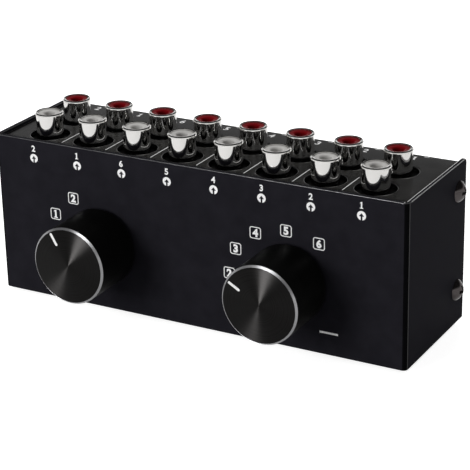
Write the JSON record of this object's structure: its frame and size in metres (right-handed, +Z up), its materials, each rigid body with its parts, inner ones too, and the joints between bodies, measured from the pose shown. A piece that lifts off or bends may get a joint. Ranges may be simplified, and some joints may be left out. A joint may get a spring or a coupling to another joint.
{
  "type": "phono socket selector box",
  "caption": "Long rectangular folded-metal selector box with pairs of phono sockets standing on its top and rotary selector knobs on its front.",
  "frame": {"origin": "on the floor under the feet, in the middle of the space the box and its knobs take", "axes": "+X along the front to the viewer's right, +Y from the knobs to the back, +Z up along the sockets"},
  "size_m": [0.136, 0.0582, 0.0561],
  "materials": {
    "case_paint": "satin black baked paint",
    "screw_black": "black oxide",
    "foot_rubber": "matte",
    "board_laminate": "matte green laminate",
    "spacer_steel": "plated steel",
    "block_moulding": "matte black moulding",
    "sleeve_nickel": "bright nickel plating",
    "core_white": "gloss",
    "core_red": "gloss",
    "switch_moulding": "matte",
    "terminal_tin": "tin plated",
    "nut_steel": "plated steel",
    "ribbon_grey": "matte",
    "knob_black": "black anodised, turned face",
    "pointer_white": "matte white"
  },
  "bodies": {
    "case": {"front_cover": "case_paint", "rear_chassis": "case_paint", "side_screws": "screw_black", "rubber_feet": "foot_rubber", "socket_board": "board_laminate", "board_spacers": "spacer_steel", "output_2_socket_block": "block_moulding", "output_1_socket_block": "block_moulding", "input_6_socket_block": "block_moulding", "input_5_socket_block": "block_moulding", "input_4_socket_block": "block_moulding", "input_3_socket_block": "block_moulding", "input_2_socket_block": "block_moulding", "input_1_socket_block": "block_moulding", "white_sleeves": "sleeve_nickel", "white_cores": "core_white", "red_sleeves": "sleeve_nickel", "red_cores": "core_red", "output_switch_housing": "switch_moulding", "output_switch_terminals": "terminal_tin", "output_switch_nut": "nut_steel", "output_ribbon_lead": "ribbon_grey", "input_switch_housing": "switch_moulding", "input_switch_terminals": "terminal_tin", "input_switch_nut": "nut_steel", "input_ribbon_lead": "ribbon_grey"},
    "output_control": {"output_knob": "knob_black", "output_switch_shaft": "spacer_steel", "output_knob_pointer": "pointer_white"},
    "input_control": {"input_knob": "knob_black", "input_switch_shaft": "spacer_steel", "input_knob_pointer": "pointer_white"}
  },
  "joints": [
    {"name": "output_turn", "type": "hinge", "parent": "case", "child": "output_control", "pos_m": [-0.03, -0.02, 0.0214], "axis": [0, 1, 0], "range_deg": [-30, 0]},
    {"name": "input_turn", "type": "hinge", "parent": "case", "child": "input_control", "pos_m": [0.031, -0.02, 0.0214], "axis": [0, 1, 0], "range_deg": [-60, 90]}
  ]
}
